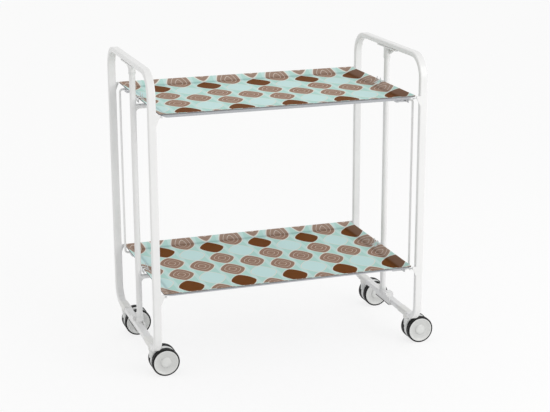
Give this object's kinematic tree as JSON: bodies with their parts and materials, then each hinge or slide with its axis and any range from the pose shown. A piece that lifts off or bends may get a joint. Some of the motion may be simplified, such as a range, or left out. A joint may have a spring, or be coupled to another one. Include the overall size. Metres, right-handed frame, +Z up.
{
  "type": "folding serving cart",
  "caption": "White tubular serving cart with tilting printed trays held between rounded end loops, wire link rods and swivelling twin-wheel castors.",
  "frame": {"origin": "on the floor, under the middle of the cart's outer box", "axes": "+Z up, X along the length of the trays, front faces -Y, castors trail towards +X"},
  "size_m": [0.697, 0.402, 0.706],
  "materials": {
    "white_coated_steel": "gloss powder coat",
    "printed_tray": "gloss printed laminate",
    "plated_steel": "zinc plated",
    "white_plastic": "satin moulded",
    "black_tyre": "matt rubber"
  },
  "bodies": {
    "frame": {"left_bow": "white_coated_steel", "left_bottom_rail": "white_coated_steel", "left_top_bracket": "white_coated_steel", "left_bottom_bracket": "white_coated_steel", "left_tray_gussets": "white_coated_steel", "left_bracket_screws": "plated_steel", "left_foot_covers": "white_plastic", "left_pole": "white_coated_steel", "right_bow": "white_coated_steel", "right_bottom_rail": "white_coated_steel", "right_top_bracket": "white_coated_steel", "right_bottom_bracket": "white_coated_steel", "right_tray_gussets": "white_coated_steel", "right_bracket_screws": "plated_steel", "right_foot_covers": "white_plastic", "right_pole": "white_coated_steel", "upper_cross_tube": "white_coated_steel", "lower_cross_tube": "white_coated_steel", "pole_collars": "white_plastic"},
    "upper_tray": {"upper_tray_panel": "printed_tray", "upper_tray_saddles": "white_plastic", "upper_tray_rod_ears": "plated_steel", "upper_tray_end_clips": "plated_steel", "upper_tray_screws": "plated_steel"},
    "lower_tray": {"lower_tray_panel": "printed_tray", "lower_tray_saddles": "white_plastic", "lower_tray_rod_ears": "plated_steel", "lower_tray_end_clips": "plated_steel", "lower_tray_screws": "plated_steel"},
    "left_rod": {"left_link_rod": "white_coated_steel"},
    "right_rod": {"right_link_rod": "white_coated_steel"},
    "front_left_castor": {"front_left_castor_hood": "white_plastic", "front_left_castor_stem": "plated_steel", "front_left_castor_axle": "plated_steel"},
    "front_left_outer_wheel": {"front_left_outer_wheel_disc": "white_plastic", "front_left_outer_wheel_tyre": "black_tyre"},
    "front_left_inner_wheel": {"front_left_inner_wheel_disc": "white_plastic", "front_left_inner_wheel_tyre": "black_tyre"},
    "front_right_castor": {"front_right_castor_hood": "white_plastic", "front_right_castor_stem": "plated_steel", "front_right_castor_axle": "plated_steel"},
    "front_right_outer_wheel": {"front_right_outer_wheel_disc": "white_plastic", "front_right_outer_wheel_tyre": "black_tyre"},
    "front_right_inner_wheel": {"front_right_inner_wheel_disc": "white_plastic", "front_right_inner_wheel_tyre": "black_tyre"},
    "back_left_castor": {"back_left_castor_hood": "white_plastic", "back_left_castor_stem": "plated_steel", "back_left_castor_axle": "plated_steel"},
    "back_left_outer_wheel": {"back_left_outer_wheel_disc": "white_plastic", "back_left_outer_wheel_tyre": "black_tyre"},
    "back_left_inner_wheel": {"back_left_inner_wheel_disc": "white_plastic", "back_left_inner_wheel_tyre": "black_tyre"},
    "back_right_castor": {"back_right_castor_hood": "white_plastic", "back_right_castor_stem": "plated_steel", "back_right_castor_axle": "plated_steel"},
    "back_right_outer_wheel": {"back_right_outer_wheel_disc": "white_plastic", "back_right_outer_wheel_tyre": "black_tyre"},
    "back_right_inner_wheel": {"back_right_inner_wheel_disc": "white_plastic", "back_right_inner_wheel_tyre": "black_tyre"}
  },
  "joints": [
    {"name": "upper_tray_tilt", "type": "hinge", "parent": "frame", "child": "upper_tray", "pos_m": [-0.0245, 0, 0.593], "axis": [-1, 0, 0], "range_deg": [0, 40]},
    {"name": "lower_tray_tilt", "type": "hinge", "parent": "frame", "child": "lower_tray", "pos_m": [-0.0245, 0, 0.189], "axis": [-1, 0, 0], "range_deg": [0, 40]},
    {"name": "left_rod_pivot", "type": "hinge", "parent": "upper_tray", "child": "left_rod", "pos_m": [-0.3135, 0.17, 0.6], "axis": [1, 0, 0], "range_deg": [0, 40]},
    {"name": "right_rod_pivot", "type": "hinge", "parent": "upper_tray", "child": "right_rod", "pos_m": [0.2645, -0.17, 0.6], "axis": [1, 0, 0], "range_deg": [0, 40]},
    {"name": "front_left_swivel", "type": "hinge", "parent": "frame", "child": "front_left_castor", "pos_m": [-0.3385, -0.136, 0.057], "axis": [0, 0, 1], "continuous": true},
    {"name": "front_left_outer_wheel_spin", "type": "hinge", "parent": "front_left_castor", "child": "front_left_outer_wheel", "pos_m": [-0.3115, -0.136, 0.032], "axis": [0, 1, 0], "continuous": true},
    {"name": "front_left_inner_wheel_spin", "type": "hinge", "parent": "front_left_castor", "child": "front_left_inner_wheel", "pos_m": [-0.3115, -0.136, 0.032], "axis": [0, 1, 0], "continuous": true},
    {"name": "front_right_swivel", "type": "hinge", "parent": "frame", "child": "front_right_castor", "pos_m": [0.2895, -0.136, 0.057], "axis": [0, 0, 1], "continuous": true},
    {"name": "front_right_outer_wheel_spin", "type": "hinge", "parent": "front_right_castor", "child": "front_right_outer_wheel", "pos_m": [0.3165, -0.136, 0.032], "axis": [0, 1, 0], "continuous": true},
    {"name": "front_right_inner_wheel_spin", "type": "hinge", "parent": "front_right_castor", "child": "front_right_inner_wheel", "pos_m": [0.3165, -0.136, 0.032], "axis": [0, 1, 0], "continuous": true},
    {"name": "back_left_swivel", "type": "hinge", "parent": "frame", "child": "back_left_castor", "pos_m": [-0.3385, 0.136, 0.057], "axis": [0, 0, 1], "continuous": true},
    {"name": "back_left_outer_wheel_spin", "type": "hinge", "parent": "back_left_castor", "child": "back_left_outer_wheel", "pos_m": [-0.3115, 0.136, 0.032], "axis": [0, 1, 0], "continuous": true},
    {"name": "back_left_inner_wheel_spin", "type": "hinge", "parent": "back_left_castor", "child": "back_left_inner_wheel", "pos_m": [-0.3115, 0.136, 0.032], "axis": [0, 1, 0], "continuous": true},
    {"name": "back_right_swivel", "type": "hinge", "parent": "frame", "child": "back_right_castor", "pos_m": [0.2895, 0.136, 0.057], "axis": [0, 0, 1], "continuous": true},
    {"name": "back_right_outer_wheel_spin", "type": "hinge", "parent": "back_right_castor", "child": "back_right_outer_wheel", "pos_m": [0.3165, 0.136, 0.032], "axis": [0, 1, 0], "continuous": true},
    {"name": "back_right_inner_wheel_spin", "type": "hinge", "parent": "back_right_castor", "child": "back_right_inner_wheel", "pos_m": [0.3165, 0.136, 0.032], "axis": [0, 1, 0], "continuous": true}
  ],
  "couplings": [
    {"joint": "lower_tray_tilt", "follows": "upper_tray_tilt", "ratio": 1},
    {"joint": "left_rod_pivot", "follows": "upper_tray_tilt", "ratio": 1},
    {"joint": "right_rod_pivot", "follows": "upper_tray_tilt", "ratio": 1}
  ]
}
